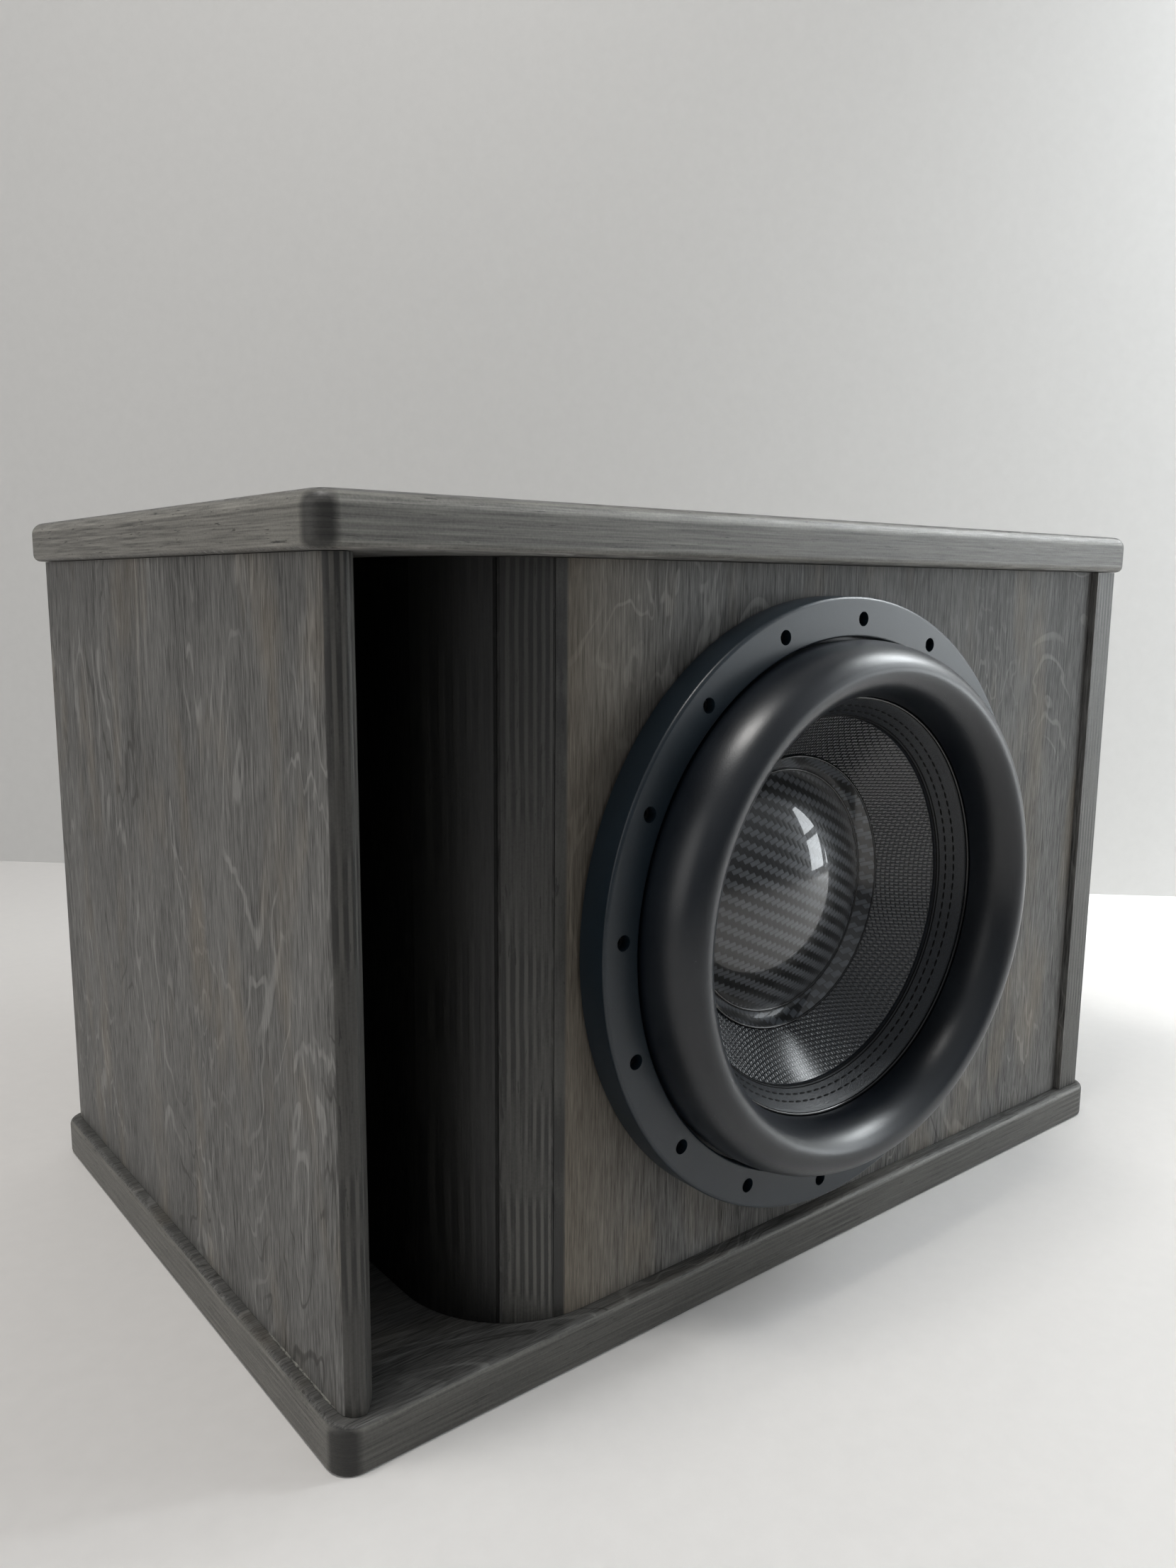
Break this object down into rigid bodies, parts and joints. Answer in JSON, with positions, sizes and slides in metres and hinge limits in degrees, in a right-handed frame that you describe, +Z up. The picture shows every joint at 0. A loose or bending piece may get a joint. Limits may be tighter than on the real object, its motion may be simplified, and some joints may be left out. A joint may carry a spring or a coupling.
{
  "type": "subwoofer cabinet",
  "caption": "Slot-ported plywood subwoofer cabinet with one large driver, a stitched cone band and a carbon dust cap.",
  "frame": {"origin": "middle of the bottom board's underside", "axes": "+X along the front from the port side to the other side, +Y from the driver's front to the back panel, +Z up"},
  "size_m": [0.467, 0.3398, 0.32],
  "materials": {
    "stained_ply": "grey-black stained birch plywood, satin",
    "inner_ply": "dark stained birch plywood, matt",
    "cast_coat": "blue-black powder coat, satin",
    "gasket": "closed-cell foam, matt",
    "screw_steel": "black oxide, satin",
    "foam_roll": "moulded foam, fine grained",
    "stitched_band": "grained, stitched",
    "cone_cloth": "woven and lacquered",
    "carbon": "carbon twill under clear lacquer",
    "former": "plain foil",
    "coil_wire": "enamelled copper winding",
    "spider_cloth": "resin-treated cloth",
    "black_plastic": "moulded",
    "motor_steel": "black passivated steel",
    "ferrite": "sintered ferrite, ground faces",
    "boot_rubber": "moulded, matt",
    "braid": "tinned copper braid",
    "gold_plate": "gold-plated brass",
    "red_plastic": "glossy",
    "knob_black": "glossy"
  },
  "bodies": {
    "cabinet": {"bottom_panel": "stained_ply", "top_panel": "stained_ply", "left_side_panel": "stained_ply", "right_side_panel": "stained_ply", "front_baffle": "stained_ply", "back_panel": "stained_ply", "port_wall": "inner_ply", "port_corner_block": "inner_ply", "port_return_wall": "inner_ply", "port_turn_block": "inner_ply", "window_brace": "inner_ply", "basket": "cast_coat", "mounting_gasket": "gasket", "terminal_gasket": "gasket", "mounting_screw_01": "screw_steel", "mounting_screw_02": "screw_steel", "mounting_screw_03": "screw_steel", "mounting_screw_04": "screw_steel", "mounting_screw_05": "screw_steel", "mounting_screw_06": "screw_steel", "mounting_screw_07": "screw_steel", "mounting_screw_08": "screw_steel", "mounting_screw_09": "screw_steel", "mounting_screw_10": "screw_steel", "mounting_screw_11": "screw_steel", "mounting_screw_12": "screw_steel", "mounting_screw_13": "screw_steel", "mounting_screw_14": "screw_steel", "mounting_screw_15": "screw_steel", "mounting_screw_16": "screw_steel", "terminal_screw_1": "screw_steel", "terminal_screw_2": "screw_steel", "terminal_screw_3": "screw_steel", "terminal_screw_4": "screw_steel", "surround": "foam_roll", "rear_spider": "spider_cloth", "front_spider": "spider_cloth", "spider_spacer": "black_plastic", "top_plate": "motor_steel", "pole_and_back_plate": "motor_steel", "front_magnet": "ferrite", "rear_magnet": "ferrite", "magnet_boot": "boot_rubber", "driver_terminal": "black_plastic", "coil_lead_plus": "braid", "coil_lead_minus": "braid", "terminal_cup": "black_plastic", "red_post": "gold_plate", "black_post": "gold_plate", "red_wire": "red_plastic", "black_wire": "knob_black"},
    "cone_assembly": {"cone_band": "stitched_band", "cone": "cone_cloth", "dust_cap": "carbon", "coil_former": "former", "voice_coil": "coil_wire"},
    "red_terminal_knob": {"red_knob": "red_plastic"},
    "black_terminal_knob": {"black_knob": "knob_black"}
  },
  "joints": [
    {"name": "cone_travel", "type": "slide", "parent": "cabinet", "child": "cone_assembly", "axis": [0, -1, 0], "range_m": [-0.012, 0.012], "stiffness_N_per_m": 5000, "deforming": ["surround", "front_spider", "rear_spider", "coil_lead_plus", "coil_lead_minus"]},
    {"name": "red_knob_turn", "type": "hinge", "parent": "cabinet", "child": "red_terminal_knob", "pos_m": [0.0728, 0.14, 0.1], "axis": [0, 1, 0], "continuous": true},
    {"name": "black_knob_turn", "type": "hinge", "parent": "cabinet", "child": "black_terminal_knob", "pos_m": [0.0918, 0.14, 0.1], "axis": [0, 1, 0], "continuous": true}
  ]
}
